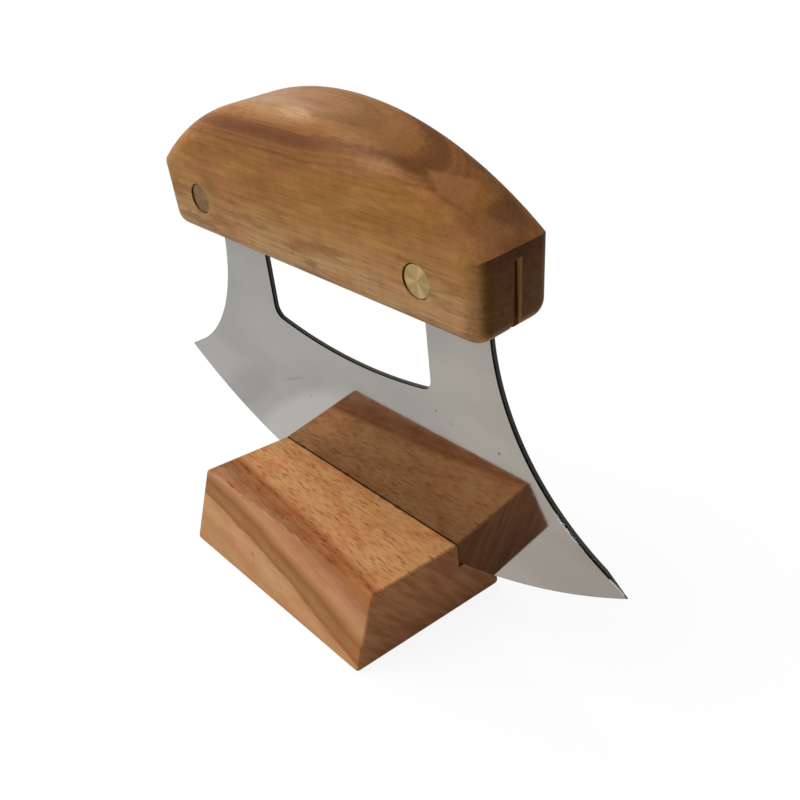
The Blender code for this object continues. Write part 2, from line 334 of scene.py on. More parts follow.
def spot(tree, where, centre, radii, inside):
    """A soft-edged oval at centre, full within its inside share and gone at its radii."""
    offset = add_node(tree, "ShaderNodeVectorMath", {0: where, 1: centre}, operation="SUBTRACT")
    inputs = {0: offset.outputs[0], 1: radii}
    scaled = add_node(tree, "ShaderNodeVectorMath", inputs, operation="DIVIDE")
    reached = add_node(tree, "ShaderNodeVectorMath", {0: scaled.outputs[0]}, operation="LENGTH")
    return fitted(tree, reached.outputs["Value"], inside, 1.0, 1.0, 0.0)


def sheared(tree, along, up, fall):
    """Places along a line that falls by so much for each step along, laid level."""
    level = reckon(tree, "ADD", up, reckon(tree, "MULTIPLY", along, fall))
    return add_node(tree, "ShaderNodeCombineXYZ", {0: along, 2: level}).outputs[0]


def add_relief(tree, shader, height, strength, distance):
    """Roughness finer than the mesh, in the shading alone."""
    inputs = {"Height": height, "Strength": strength, "Distance": distance}
    bump = add_node(tree, "ShaderNodeBump", inputs)
    tree.links.new(bump.outputs[0], shader.inputs["Normal"])


steel, tree, shader = new_material("mirror_stainless")
where = on_knife(tree)
# broad random changes in the mirror face's brightness: partly smudges, partly painted reflection
smudged_reflection = noise(tree, stretched(tree, where, 0.020, 0.02, 0.055), 1.0, 2.0)
wiping = noise(tree, stretched(tree, where, 0.30, 0.3, 2.5), 1.0, 3.0)
face = blended(tree, fitted(tree, smudged_reflection, 0.35, 0.65), shade_of(STEEL, 0.93), shade_of(STEEL, 1.04))

# painted reflection: the mirror face is painted brighter along a slanting stroke on the left, warmer
# towards the right, darker towards the tip and towards the top, and lighter or darker in a few broad
# places, for the brighter and dimmer parts of the room that it shows
along, through, up = each_way(tree, where)
slanting_way = sheared(tree, along, up, -0.64)
bright_reflection_stroke = spot(tree, slanting_way, (-29, 0, -42), (36, 9, 12.5), 0.55)
face = blended(tree, bright_reflection_stroke, face, shade_of(STEEL, 1.27))
warmer_reflection = fitted(tree, along, -20, 75, 0.0, 1.0)
face = tinted(tree, warmer_reflection, face, (1.03, 0.965, 0.915))
face = tinted(tree, fitted(tree, along, 58, 89), face, (0.86, 0.86, 0.86))
face = tinted(tree, fitted(tree, up, -30, 0), face, (0.90, 0.90, 0.91))
lighter = spot(tree, where, (44, 0, -20), (28, 9, 26), 0.3)
face = tinted(tree, lighter, face, (1.10, 1.125, 1.115))
dim_reflection_and_dull_wood = spot(tree, slanting_way, (-58, 0, -21.5), (27, 9, 10), 0.40)
face = tinted(tree, dim_reflection_and_dull_wood, face, (0.86, 0.86, 0.865))

# specks of dirt, a rubbed line and glints beside the right-hand side
marks = [(32.7, -29.5, 0.45, 0.6), (53.1, -32.4, 0.55, 0.7)]
marks += [(-21.1, -47.4, 0.9, 0.25), (37.8, -31.0, 1.0, 0.15)]
for x, z, size, strength in marks:
    mark = spot(tree, where, (x, 0, z), (size, 9, size * 1.2), 0.3)
    face = blended(tree, reckon(tree, "MULTIPLY", mark, strength), face, (0.10, 0.075, 0.065, 1))
sloped = sheared(tree, along, up, -0.457)
rubbed = spot(tree, sloped, (-29, 0, -31.3), (9.0, 9, 0.7), 0.1)
face = blended(tree, reckon(tree, "MULTIPLY", rubbed, 0.28), face, (0.12, 0.115, 0.11, 1))
beside_side = spot(tree, sheared(tree, along, up, 0.69), (73.0, 0, 6.4), (5.0, 9, 1.1), 0.4)
glints = fitted(tree, noise(tree, where, 3.6, 2.0), 0.57, 0.63)
glints = reckon(tree, "MULTIPLY", glints, beside_side)
face = blended(tree, glints, face, (1, 1, 1, 1))
gloss = fitted(tree, wiping, 0.3, 0.75, 0.035, 0.075)
tree.links.new(face, shader.inputs["Base Color"])
tree.links.new(gloss, shader.inputs["Roughness"])
shader.inputs["Metallic"].default_value = 0.985

ground, tree, shader = new_material("ground_bevel")
where = on_knife(tree)
lines = noise(tree, stretched(tree, where, 4.0, 4.0, 0.4), 1.0, 2.0)
shader.inputs["Base Color"].default_value = (*STEEL, 1)
tree.links.new(fitted(tree, lines, 0.3, 0.7, 0.16, 0.30), shader.inputs["Roughness"])
shader.inputs["Metallic"].default_value = 1.0
add_relief(tree, shader, lines, strength=0.25, distance=0.00002)

# painted shade: each cut side is painted near black in its front half and a torn dark grey in its back
# half, for the shade and the dark room that the cut steel shows, with bare bright nicks that glint
torn_steel, tree, shader = new_material("cut_side")
where = on_knife(tree)
tears = noise(tree, stretched(tree, where, 1.2, 6.0, 1.2), 1.0, 3.0, 0.6)
along, through, up = each_way(tree, where)
torn_depth = reckon(tree, "ADD", through, fitted(tree, tears, 0.2, 0.8, -0.25, 0.25))
tone = fitted(tree, torn_depth, -0.42, -0.08)
tone = blended(tree, tone, (0.004, 0.004, 0.004, 1), (0.080, 0.078, 0.068, 1))
nicks = fitted(tree, noise(tree, where, 3.5, 2.0), 0.56, 0.60)
nicked = reckon(tree, "MULTIPLY", nicks, spot(tree, where, (73.0, -0.8, -44), (6.0, 0.5, 6.5), 0.5))
# painted reflection: a bright mirror patch at the tip
tip_reflection = spot(tree, where, (86.6, -0.75, -51.4), (2.7, 0.45, 2.7), 0.75)
glints_and_tip_reflection = reckon(tree, "MAXIMUM", nicked, tip_reflection)
tone = blended(tree, glints_and_tip_reflection, tone, (1, 1, 1, 1))
tree.links.new(tone, shader.inputs["Base Color"])
tree.links.new(fitted(tree, tears, 0.3, 0.7, 0.35, 0.55), shader.inputs["Roughness"])
tree.links.new(glints_and_tip_reflection, shader.inputs["Metallic"])
shader.inputs["Specular IOR Level"].default_value = 0.04
add_relief(tree, shader, tears, strength=0.5, distance=0.00006)

for finish in (steel, ground, torn_steel):
    blade.data.materials.append(finish)
back_way = knife_place.to_3x3() @ Vector((0, 1, 0))
for part in blade.data.polygons:
    facing = abs(part.normal.dot(back_way))
    part.material_index = 0 if facing > FACE_FLAT else 1 if facing > BEVEL_FLAT else 2
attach(blade, "knife")
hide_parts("blade")


# Handle: one bar of hardwood, domed along its top and rounded over on a router, with a saw kerf up
# from below for the tangs and a counterbore in each face for the rivet heads. Its growth rings curve
# round a centre above the dome, so the dark heartwood runs along the front and round the dome's end.

OVERHANG = 0.0072
HANDLE_DEPTH = 0.0222
END_TOP = 0.0196
DOME_RISE = 0.0207
END_FLARE = math.radians(2.3)
ROUNDOVER = 0.00476
ROUNDOVER_STEPS = 14
KERF_TOP = 0.0170
KERF_WIDTH = 0.0022
SAW_PAST = 0.004  # how far a saw or a borer reaches beyond the wood
HEAD_BORE = 0.00408
HEAD_SEAT = 0.0089  # the counterbore's floor, out from the middle of the handle
RING_CENTRE = (-1.5, 45.0)  # millimetres behind and above the middle of the underside
RINGS_REACH = 50


def handle_outline(inset):
    """The handle's side view, drawn in by the inset all round."""
    end_x = TANG_OUTSIDE + OVERHANG
    top_x = end_x + END_TOP * math.tan(END_FLARE)
    radius = (top_x**2 + DOME_RISE**2) / (2 * DOME_RISE)
    middle = (0, END_TOP + DOME_RISE - radius)
    corner_x = end_x + ROUNDOVER * math.tan(END_FLARE) - ROUNDOVER / math.cos(END_FLARE)
    right = [(0, inset)]
    right += arc((corner_x, ROUNDOVER), ROUNDOVER - inset, -math.pi / 2, -END_FLARE, ROUNDOVER_STEPS)
    foot = end_x - inset / math.cos(END_FLARE)
    flare = math.tan(END_FLARE)
    squares = 1 + flare**2
    half = foot * flare - middle[1]
    rest = foot**2 + middle[1] ** 2 - (radius - inset) ** 2
    top = (math.sqrt(half**2 - squares * rest) - half) / squares
    meets = math.atan2(top - middle[1], foot + flare * top)
    right += arc(middle, radius - inset, meets, math.pi / 2, steps=48)
    return both_halves(right)


def rounded_bar():
    """The side view from front to back, drawn in where the router's quarter round took the edges."""
    slices = []
    for i in range(ROUNDOVER_STEPS, -1, -1):
        turn = math.pi / 2 * i / ROUNDOVER_STEPS
        inset = ROUNDOVER * (1 - math.cos(turn))
        slices.append((inset, ROUNDOVER - HANDLE_DEPTH / 2 - ROUNDOVER * math.sin(turn)))
    slices += [(inset, -y) for inset, y in reversed(slices)]
    shape = bmesh.new()
    rings = [[shape.verts.new((x, y, z)) for x, z in handle_outline(inset)] for inset, y in slices]
    for front, back in zip(rings, rings[1:]):
        for i in range(len(front)):
            j = (i + 1) % len(front)
            shape.faces.new((front[i], front[j], back[j], back[i]))
    shape.faces.new(rings[0])
    shape.faces.new(rings[-1])
    bmesh.ops.remove_doubles(shape, verts=shape.verts, dist=SAME_POINT)
    bmesh.ops.recalc_face_normals(shape, faces=shape.faces)
    return piece_from("handle_wood_bar", shape)


def flat_faces_lead(made):
    """Each flat face sets the shading of its own rim, so the rounding beside it stays clean."""
    lead = made.modifiers.new("flat faces lead", "WEIGHTED_NORMAL")
    lead.keep_sharp = True


handle = rounded_bar()
reach = TANG_OUTSIDE + OVERHANG + SAW_PAST
kerf = [(-reach, -SAW_PAST), (reach, -SAW_PAST), (reach, KERF_TOP), (-reach, KERF_TOP)]
saw = slab("saw", kerf, KERF_WIDTH)
cut(handle, saw)
borers = []
face = HANDLE_DEPTH / 2 + SAW_PAST
for side in (-1, 1):
    half = [(0, -face), (HEAD_BORE, -face), (HEAD_BORE, -HEAD_SEAT), (RIVET_HOLE, -HEAD_SEAT)]
    borer = drum("borer", half + [(r, -y) for r, y in reversed(half)], sides=64)
    borer.location = (side * RIVET_X, 0, RIVET_HEIGHT)
    cut(handle, borer)
    borers.append(borer)
settle(handle, [saw, *borers], knife_place, sharp=32)
flat_faces_lead(handle)


def seen_colour(red, green, blue):
    """A colour given as 0 to 255, turned into the linear light that a material takes."""
    linear = []
    for value in (red, green, blue):
        value /= 255
        value = value / 12.92 if value <= 0.04045 else ((value + 0.055) / 1.055) ** 2.4
        linear.append(value)
    return (*linear, 1.0)


def bands(tree, value, reach, stops):
    """Colours along a value from nought to reach. Each stop is a place, red, green and blue."""
    scaled = reckon(tree, "DIVIDE", value, reach)
    made = add_node(tree, "ShaderNodeValToRGB", {"Fac": scaled})
    ramp = made.color_ramp
    ramp.elements[0].position = stops[0][0] / reach
    ramp.elements[0].color = seen_colour(*stops[0][1:])
    ramp.elements[1].position = stops[-1][0] / reach
    ramp.elements[1].color = seen_colour(*stops[-1][1:])
    for at, *tone in stops[1:-1]:
        added = ramp.elements.new(at / reach)
        added.color = seen_colour(*tone)
    return made.outputs[0]


# what any sawn and sanded wood shows, measured along its fibres in millimetres
wood_figure = bpy.data.node_groups.new("wood_figure", "ShaderNodeTree")
for label, value in (
    ("Fibre length", 14.0),
    ("Fibre width", 0.35),
    ("Pore length", 2.6),
    ("Pore width", 0.5),
    ("Pore share", 0.5),
):
    socket = wood_figure.interface.new_socket(label, in_out="INPUT", socket_type="NodeSocketFloat")
    socket.default_value = value
wood_figure.interface.new_socket("Position", in_out="INPUT", socket_type="NodeSocketVector")
for label in ("Fibres", "Pores", "Clouds"):
    wood_figure.interface.new_socket(label, in_out="OUTPUT", socket_type="NodeSocketFloat")
given = wood_figure.nodes.new("NodeGroupInput").outputs
result = wood_figure.nodes.new("NodeGroupOutput").inputs


def squeezed(tree, where, length, width):
    """Where, with so many millimetres along the fibres and across them to each step."""
    along = reckon(tree, "DIVIDE", 1.0, length)
    across = reckon(tree, "DIVIDE", 1.0, width)
    steps = add_node(tree, "ShaderNodeCombineXYZ", {0: along, 1: across, 2: across}).outputs[0]
    return add_node(tree, "ShaderNodeVectorMath", {0: where, 1: steps}, operation="MULTIPLY").outputs[0]


fibre_place = squeezed(wood_figure, given["Position"], given["Fibre length"], given["Fibre width"])
wood_figure.links.new(noise(wood_figure, fibre_place, 1.0, 3.0, 0.6), result["Fibres"])
pore_place = squeezed(wood_figure, given["Position"], given["Pore length"], given["Pore width"])
cells = add_node(wood_figure, "ShaderNodeTexVoronoi", {"Vector": pore_place, "Scale": 1.0})
opened = fitted(wood_figure, cells.outputs["Distance"], 0.14, 0.42, 1.0, 0.0)
luck = each_way(wood_figure, cells.outputs["Color"])[0]
chosen = reckon(wood_figure, "LESS_THAN", luck, given["Pore share"])
wood_figure.links.new(reckon(wood_figure, "MULTIPLY", opened, chosen), result["Pores"])
cloud_place = stretched(wood_figure, given["Position"], 0.05, 0.17, 0.17)
wood_figure.links.new(noise(wood_figure, cloud_place, 1.0, 2.0, 0.5), result["Clouds"])


def figure(tree, where, **sizes):
    """Fibres, pores and clouds of a wood, with its sizes in millimetres named as in the group."""
    made = add_node(tree, "ShaderNodeGroup", node_tree=wood_figure)
    tree.links.new(where, made.inputs["Position"])
    for label, value in sizes.items():
        made.inputs[label.replace("_", " ").capitalize()].default_value = value
    return made.outputs["Fibres"], made.outputs["Pores"], made.outputs["Clouds"]


def end_grain(tree):
    """One where the surface cuts across the fibres, and nought where it runs along them."""
    facing = add_node(tree, "ShaderNodeTexCoord").outputs["Normal"]
    along = reckon(tree, "ABSOLUTE", each_way(tree, facing)[0])
    return fitted(tree, along, 0.62, 0.97)


def inside_corners(tree, along, across, corners, soft):
    """One inside the straight-sided patch with these corners, given clockwise, and nought outside."""
    least = 100.0
    for (x0, y0), (x1, y1) in zip(corners, corners[1:] + corners[:1]):
        length = math.hypot(x1 - x0, y1 - y0)
        a, b = (y1 - y0) / length, (x0 - x1) / length
        inwards = reckon(tree, "MULTIPLY", along, a)
        inwards = reckon(tree, "ADD", inwards, reckon(tree, "MULTIPLY", across, b))
        least = reckon(tree, "MINIMUM", reckon(tree, "SUBTRACT", inwards, a * x0 + b * y0), least)
    return fitted(tree, least, -soft, soft)


# the wood's colour at so many millimetres from the centre of its rings
RING_TONES = [
    (0.0, 163, 120, 76),
    (5.0, 160, 115, 72),
    (8.2, 140, 99, 57),
    (9.6, 156, 110, 67),
    (12.2, 148, 101, 60),
    (13.2, 118, 75, 46),
    (15.2, 109, 68, 41),
    (15.7, 144, 97, 58),
    (16.3, 128, 84, 48),
    (16.9, 148, 100, 58),
    (17.4, 110, 70, 36),
    (17.9, 147, 99, 52),
    (22.0, 150, 104, 54),
    (26.0, 146, 102, 55),
    (30.0, 154, 111, 64),
    (35.0, 162, 124, 84),
    (41.0, 172, 138, 104),
    (47.0, 176, 143, 110),
]

# the pale wedge at the dome's right end, in millimetres along the handle and back through it
WEDGE_CORNERS = [(39.6, -3.4), (46.4, 4.5), (50.8, -4.0), (45.0, -6.2)]

handle_wood, tree, shader = new_material("handle_wood")
where = on_knife(tree)
fibres, pores, clouds = figure(
    tree, where, fibre_length=14.0, fibre_width=0.40, pore_length=5.0, pore_width=0.50, pore_share=0.28
)

# growth rings, counted in millimetres from their centre, with the heartwood between 12 and 18
wander = noise(tree, stretched(tree, where, 0.016, 0.05, 0.05), 1.0, 2.0)
inputs = {0: where, 1: (0, *RING_CENTRE)}
from_centre = add_node(tree, "ShaderNodeVectorMath", inputs, operation="SUBTRACT").outputs[0]
from_centre = stretched(tree, from_centre, 0, 1, 1)
ring = add_node(tree, "ShaderNodeVectorMath", {0: from_centre}, operation="LENGTH").outputs["Value"]
ring = reckon(tree, "ADD", ring, fitted(tree, wander, 0.25, 0.75, -0.35, 0.35))
along, through, up = each_way(tree, where)
ring = reckon(tree, "ADD", ring, fitted(tree, along, 6, 32, 0.0, 1.5))
ring = reckon(tree, "ADD", ring, fitted(tree, fibres, 0.2, 0.8, -0.30, 0.30))
wood = bands(tree, ring, RINGS_REACH, RING_TONES)
inputs = {"W": ring, "Scale": 0.9, "Detail": 3.0}
fine_rings = add_node(tree, "ShaderNodeTexNoise", inputs, noise_dimensions="1D").outputs[0]
wood = blended(tree, fitted(tree, fine_rings, 0.35, 0.7, 0.0, 0.35), wood, seen_colour(134, 86, 42))

# pink, dull and golden clouds in the wood outside the heartwood
outside = fitted(tree, ring, 16.5, 18.5, 0.12, 1.0)
cloudy = reckon(tree, "MULTIPLY", fitted(tree, clouds, 0.45, 0.68, 0.0, 0.50), outside)
wood = blended(tree, cloudy, wood, seen_colour(158, 102, 68))
patches = noise(tree, stretched(tree, where, 0.07, 0.30, 0.30), 1.0, 3.0, 0.6)
dim_reflection_and_dull_wood = reckon(tree, "MULTIPLY", fitted(tree, patches, 0.50, 0.66, 0.0, 0.60), outside)
wood = blended(tree, dim_reflection_and_dull_wood, wood, seen_colour(126, 86, 46))
golden = reckon(tree, "MULTIPLY", fitted(tree, patches, 0.34, 0.50, 0.45, 0.0), outside)
wood = blended(tree, golden, wood, seen_colour(168, 126, 76))

# paler along the dome's front edge and on the roundover beside the wedge: partly paler wood, partly a
# painted highlight and painted sheen where the roundover faces the light. The pale wedge and the pink
# patch at the dome's right end are the wood's own.
pale_wood_and_highlight = reckon(tree, "MULTIPLY", spot(tree, where, (24, -11, 33), (16, 4, 4.5), 0.3), 0.38)
wood = blended(tree, pale_wood_and_highlight, wood, seen_colour(160, 112, 72))
stripe_and_highlight = reckon(tree, "MULTIPLY", spot(tree, where, (33, -9.3, 32.7), (13, 2.6, 2.6), 0.2), 0.45)
wood = blended(tree, stripe_and_highlight, wood, seen_colour(176, 130, 88))
front_edge_sheen = spot(tree, where, (26, -8.0, 35.5), (17, 4.0, 5.5), 0.2)
wood = tinted(tree, front_edge_sheen, wood, (1.12, 1.30, 1.56))
wedge = inside_corners(tree, along, through, WEDGE_CORNERS, 0.8)
wedge = reckon(tree, "MULTIPLY", reckon(tree, "MULTIPLY", wedge, fitted(tree, up, 20, 22)), 0.75)
wood = blended(tree, wedge, wood, seen_colour(164, 114, 72))
pink_end = reckon(tree, "MULTIPLY", spot(tree, where, (53, -6, 21), (11, 9, 9), 0.2), 0.5)
wood = blended(tree, pink_end, wood, seen_colour(158, 106, 74))
sheen_beside_wedge = spot(tree, where, (44.5, -8.0, 29.5), (8, 2.7, 5.5), 0.2)
wood = tinted(tree, sheen_beside_wedge, wood, (1.18, 1.18, 1.36))

# painted shade on the back of the dome, along its back roundover and behind its right end, and along
# the end's top edge, where the wood turns from the light; the lower front a touch yellower, and darker
# and browner near the near lower corner
shade_behind_end = spot(tree, where, (54.5, 4.2, 24), (7.5, 6.5, 6), 0.35)
wood = tinted(tree, shade_behind_end, wood, (0.62, 0.60, 0.84))
shade_behind_wedge = spot(tree, where, (46.5, 7.5, 29), (11, 5.5, 6), 0.3)
wood = tinted(tree, shade_behind_wedge, wood, (0.76, 0.73, 0.88))
shade_on_back_round = reckon(tree, "MULTIPLY", fitted(tree, through, 8.4, 10.4), fitted(tree, along, 12, 30))
wood = tinted(tree, shade_on_back_round, wood, (0.46, 0.46, 0.54))
shade_at_end_edge = reckon(tree, "MULTIPLY", fitted(tree, along, 56.0, 58.8), fitted(tree, up, 15, 18))
shade_at_end_edge = reckon(tree, "MULTIPLY", shade_at_end_edge, fitted(tree, through, -8.5, -3.0))
wood = tinted(tree, shade_at_end_edge, wood, (0.83, 0.76, 0.88))
on_front = reckon(tree, "MULTIPLY", fitted(tree, through, -8.5, -10.5), fitted(tree, up, 34, 26))
wood = tinted(tree, on_front, wood, (0.97, 0.99, 0.90))
near_corner = spot(tree, where, (58, -9, 8), (5, 6, 13), 0.2)
wood = tinted(tree, near_corner, wood, (0.88, 0.84, 0.72))

# painted sheen on the crest, and a painted highlight, partly paler wood, at one place on its front
sheen_and_pale_patch = reckon(tree, "MULTIPLY", spot(tree, where, (-2, -7, 39.5), (24, 6, 6), 0.0), 0.40)
wood = blended(tree, sheen_and_pale_patch, wood, seen_colour(200, 168, 132))
crest_highlight = spot(tree, where, (5, -8.6, 39.5), (9, 2.2, 3), 0.0)
crest_highlight = reckon(tree, "MULTIPLY", crest_highlight, fitted(tree, fibres, 0.3, 0.7, 0.65, 0.25))
wood = blended(tree, crest_highlight, wood, seen_colour(224, 190, 150))

# ripple, dark fibres and pores over all of it; the end faces much darker, partly darker end grain and
# partly painted shade, since they turn from the light
ripple = noise(tree, stretched(tree, where, 0.45, 0.08, 0.08), 1.0, 2.0)
wood = tinted(tree, fitted(tree, ripple, 0.40, 0.70, 0.0, 0.22), wood, (0.70, 0.66, 0.60))
streaked = fitted(tree, fibres, 0.40, 0.66, 0.0, 0.38)
wood = tinted(tree, streaked, wood, (0.66, 0.56, 0.44))
wood = blended(tree, reckon(tree, "MULTIPLY", pores, 0.34), wood, seen_colour(104, 62, 36))
end_grain_and_shade = reckon(tree, "MULTIPLY", end_grain(tree), 0.95)
wood = tinted(tree, end_grain_and_shade, wood, (0.275, 0.20, 0.075))

# the kerf is fresh sawn wood, with painted shade deep inside
beside = 0.02  # millimetres, so that the kerf's own walls are in it
within_walls = reckon(tree, "LESS_THAN", reckon(tree, "ABSOLUTE", through), KERF_WIDTH / 2 * 1000 + beside)
below_top = reckon(tree, "LESS_THAN", up, KERF_TOP * 1000 + beside)
in_kerf = reckon(tree, "MULTIPLY", within_walls, below_top)
wood = blended(tree, in_kerf, wood, seen_colour(176, 134, 88))
deep_in = fitted(tree, reckon(tree, "ABSOLUTE", along), 58.0, 58.7, 1.0, 0.0)
shaded = reckon(tree, "MULTIPLY", deep_in, in_kerf)
wood = tinted(tree, shaded, wood, (0.28, 0.22, 0.06))
tree.links.new(wood, shader.inputs["Base Color"])
tree.links.new(fitted(tree, fibres, 0.2, 0.8, 0.40, 0.56), shader.inputs["Roughness"])
shader.inputs["Specular IOR Level"].default_value = 0.06
height = reckon(tree, "SUBTRACT", fibres, pores)
add_relief(tree, shader, height, strength=0.22, distance=0.00012)
handle.data.materials.append(handle_wood)
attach(handle, "knife")
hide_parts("handle")


# Rivets: two cutler's rivets, each a brass post driven into a brass tube through wood and tang. The
# heads sit a little below the handle's faces. They were faced on a lathe, and the wedges of light this
# gives are painted into their colour as painted highlights. The left one is painted darker and browner,
# for the dimmer room that it mirrors.

BRASS = (0.52, 0.36, 0.160)

brass, tree, shader = new_material("faced_brass")
where = on_knife(tree)
along, through, up = each_way(tree, where)
to_right = reckon(tree, "GREATER_THAN", along, 0.0)
sideways = reckon(tree, "SUBTRACT", reckon(tree, "ABSOLUTE", along), RIVET_X * 1000)
upwards = reckon(tree, "SUBTRACT", up, RIVET_HEIGHT * 1000)
turn = reckon(tree, "ARCTAN2", upwards, sideways)
out = add_node(tree, "ShaderNodeCombineXYZ", {0: sideways, 1: upwards}).outputs[0]
radius = add_node(tree, "ShaderNodeVectorMath", {0: out}, operation="LENGTH").outputs["Value"]
inputs = {0: reckon(tree, "COSINE", turn), 1: reckon(tree, "SINE", turn), 2: to_right}
highlight_wedge_place = add_node(tree, "ShaderNodeCombineXYZ", inputs)
# painted highlight: lighter and darker wedges round each head, as a lathe-faced disc catches light
highlight_wedges = noise(tree, highlight_wedge_place.outputs[0], 1.2, 1.0)
inputs = {"W": radius, "Scale": 9.0, "Detail": 2.0}
turned = add_node(tree, "ShaderNodeTexNoise", inputs, noise_dimensions="1D").outputs[0]
tone = blended(tree, fitted(tree, highlight_wedges, 0.35, 0.65), shade_of(BRASS, 0.78), shade_of(BRASS, 1.22))
tone = blended(tree, fitted(tree, turned, 0.35, 0.75, 0.0, 0.18), tone, shade_of(BRASS, 0.6))
# painted reflection: the left head darker and browner, for the dimmer room it mirrors
dimmer_reflection_left = fitted(tree, along, -20, 20, 1.0, 0.0)
tone = tinted(tree, dimmer_reflection_left, tone, (0.445, 0.325, 0.21))
tree.links.new(tone, shader.inputs["Base Color"])
tree.links.new(fitted(tree, turned, 0.3, 0.7, 0.26, 0.40), shader.inputs["Roughness"])
shader.inputs["Metallic"].default_value = 1.0
add_relief(tree, shader, turned, strength=0.15, distance=0.00003)
for side in ("left", "right"):
    for half in ("post", "tube"):
        node = frame["nodes"][f"{side}_rivet_{half}"]
        node.data.materials.clear()
        node.data.materials.append(brass)


# Stand: one block of open-pored hardwood, sawn to a wedge-sided section, with a leaning saw slot
# along its top that the cutting edge stands in. Its edges are eased by hand, and its fibres fall
# towards the right-hand end, so the top shows short dashes of cut pores.

STAND_LENGTH = 0.0762
STAND_HEIGHT = 0.0223
BASE_DEPTH = 0.0524
SLOPE_RUN = 0.0057
EASED = 0.0008
FOOT_EASED = 0.0015
BACK_EASED = 0.0020
SLOT_WIDTH = 0.0017
SLOT_DEPTH = 0.0102
SLOT_END_RISE = 0.0024
SLOT_EASED = 0.00025
SLOT_FLOOR_STEPS = 32
FIBRES_TURN = (0, math.radians(8.0), math.radians(-3.4))
LAYERS_FACE = (0.108, 0.917, 0.383)
LAYERS_BOW = 0.00051  # per millimetre, so the bands fall faster towards the right
LAYERS_START = 30.0  # millimetres from the first layer to the middle of the block's foot
LAYERS_REACH = 60

base = BASE_DEPTH / 2
top = base - SLOPE_RUN
section = [(-base, 0), (base, 0), (top, STAND_HEIGHT), (-top, STAND_HEIGHT)]
stand = slab("stand_block", section, STAND_LENGTH)
stand.data.transform(Matrix.Rotation(math.pi / 2, 4, "Z"))
half = STAND_LENGTH / 2
reach = half + SAW_PAST
slot_floor = []
for i in range(SLOT_FLOOR_STEPS + 1):
    x = -reach + 2 * reach * i / SLOT_FLOOR_STEPS
    slot_floor.append((x, -SLOT_DEPTH + SLOT_END_RISE * (x / half) ** 2))
slot_place = Matrix.Translation((0, slot_mouth.y, slot_mouth.z)) @ Matrix.Rotation(lean, 4, "X")
slot_saw = slab("slot_saw", slot_floor + [(reach, SAW_PAST), (-reach, SAW_PAST)], SLOT_WIDTH)
slot_saw.matrix_world = slot_place
cut(stand, slot_saw)
settle(stand, [slot_saw])


def stand_easing(a, b):
    """The edges round the foot are eased more than the others, the slot's only at its mouth."""
    in_slot = max(abs(point.y - slot_mouth.y) for point in (a, b)) < SLOT_DEPTH / 2
    if in_slot:
        along_mouth = min(a.z, b.z) > STAND_HEIGHT - SAME_POINT and abs(a.x - b.x) > SLOT_DEPTH
        return SLOT_EASED / BACK_EASED if along_mouth else 0.0
    if min(a.y, b.y) > top + SAME_POINT and abs(a.z - b.z) < SAME_POINT:
        return 1.0
    return (FOOT_EASED if max(a.z, b.z) < SAME_POINT else EASED) / BACK_EASED


soften(stand, BACK_EASED, steps=5, share=stand_easing)
settle(stand, sharp=32)
flat_faces_lead(stand)

# the wood's colour at so many millimetres through its layers, from the front foot up and back
LAYER_TONES = [
    (0.0, 150, 106, 68),
    (6.0, 168, 125, 86),
    (7.5, 162, 119, 81),
    (10.0, 175, 132, 93),
    (11.9, 170, 126, 87),
    (12.5, 132, 90, 54),
    (13.4, 146, 102, 64),
    (14.4, 142, 98, 61),
    (15.1, 128, 84, 46),
    (16.2, 152, 106, 68),
    (17.6, 170, 125, 87),
    (19.6, 160, 112, 79),
    (21.5, 144, 97, 62),
    (23.2, 148, 94, 54),
    (24.5, 158, 104, 65),
    (25.2, 143, 87, 49),
    (25.9, 153, 97, 57),
    (27.6, 184, 130, 86),
    (32.0, 190, 137, 91),
    (60.0, 186, 133, 85),
]

stand_wood, tree, shader = new_material("stand_wood")
where = place_in_mm(tree, (0, 0, 0), (0, 0, 0))
with_fibres = place_in_mm(tree, (0, 0, 0), FIBRES_TURN)
fibres, pores, clouds = figure(
    tree, with_fibres, fibre_length=7.0, fibre_width=0.55, pore_length=6.5, pore_width=0.85, pore_share=0.95
)
fine_pores = figure(tree, where, pore_length=4.2, pore_width=0.60, pore_share=0.65)[1]
pores = reckon(tree, "MAXIMUM", pores, reckon(tree, "MULTIPLY", fine_pores, 0.75))

# the layers of growth are nearly flat sheets along the block, bowed a little over its length
inputs = {0: where, 1: LAYERS_FACE}
layer = add_node(tree, "ShaderNodeVectorMath", inputs, operation="DOT_PRODUCT").outputs["Value"]
along = each_way(tree, where)[0]
bow = reckon(tree, "MULTIPLY", reckon(tree, "MULTIPLY", along, along), LAYERS_BOW)
layer = reckon(tree, "ADD", reckon(tree, "ADD", layer, bow), LAYERS_START)
wander = noise(tree, stretched(tree, with_fibres, 0.03, 0.08, 0.08), 1.0, 2.0)
layer = reckon(tree, "ADD", layer, fitted(tree, wander, 0.25, 0.75, -0.4, 0.4))
layer = reckon(tree, "ADD", layer, fitted(tree, fibres, 0.2, 0.8, -0.35, 0.35))
wood = bands(tree, layer, LAYERS_REACH, LAYER_TONES)

# a painted sheen on the faces that look up, tones in broad places, then patches and dark fibres, which
# show most on the top
patches = noise(tree, stretched(tree, with_fibres, 0.10, 0.22, 0.22), 1.0, 3.0, 0.6)
upward = each_way(tree, add_node(tree, "ShaderNodeTexCoord").outputs["Normal"])[2]
facing_up = fitted(tree, upward, 0.4, 0.8)
